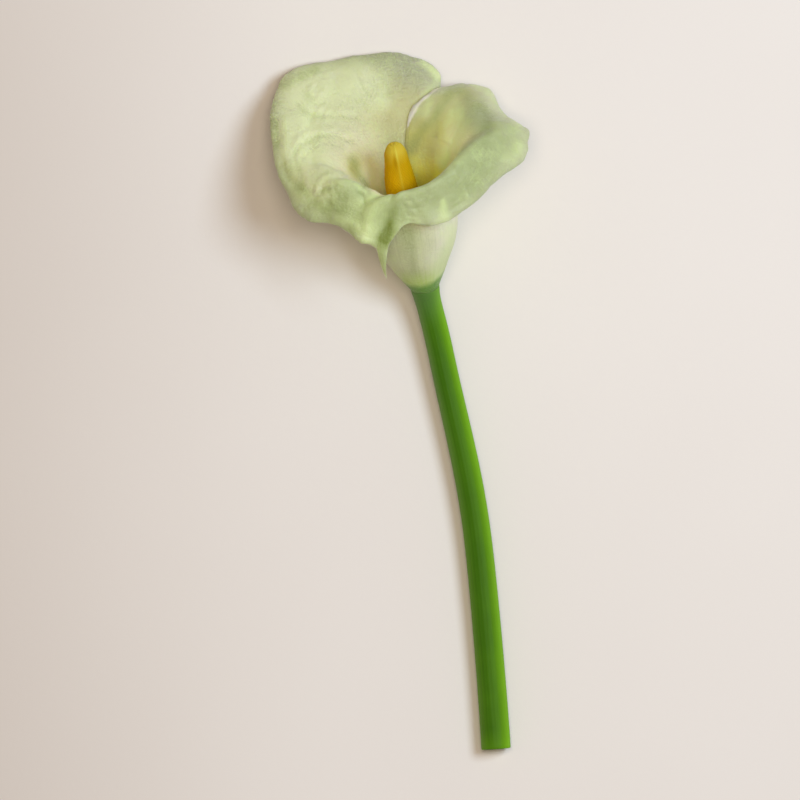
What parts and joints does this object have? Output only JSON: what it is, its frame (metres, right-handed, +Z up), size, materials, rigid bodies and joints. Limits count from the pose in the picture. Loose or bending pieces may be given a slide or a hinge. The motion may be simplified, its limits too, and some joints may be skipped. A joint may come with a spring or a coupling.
{
  "type": "calla lily flower",
  "caption": "Cut calla lily lying down: a rolled pale green spathe flares round a yellow spadix on a smooth, gently bent green stem.",
  "frame": {"origin": "on the resting surface, under the middle of the flower's box", "axes": "+Z up from the surface that it lies on, +Y along its length from the cut end of the stem towards the bloom, +X to the right as seen from above"},
  "size_m": [0.1118, 0.2948, 0.0714],
  "materials": {
    "stem": "satin",
    "spathe": "satin",
    "spadix": "matte"
  },
  "bodies": {
    "root": {"stem": "stem", "spathe": "spathe", "spadix": "spadix"}
  },
  "joints": []
}
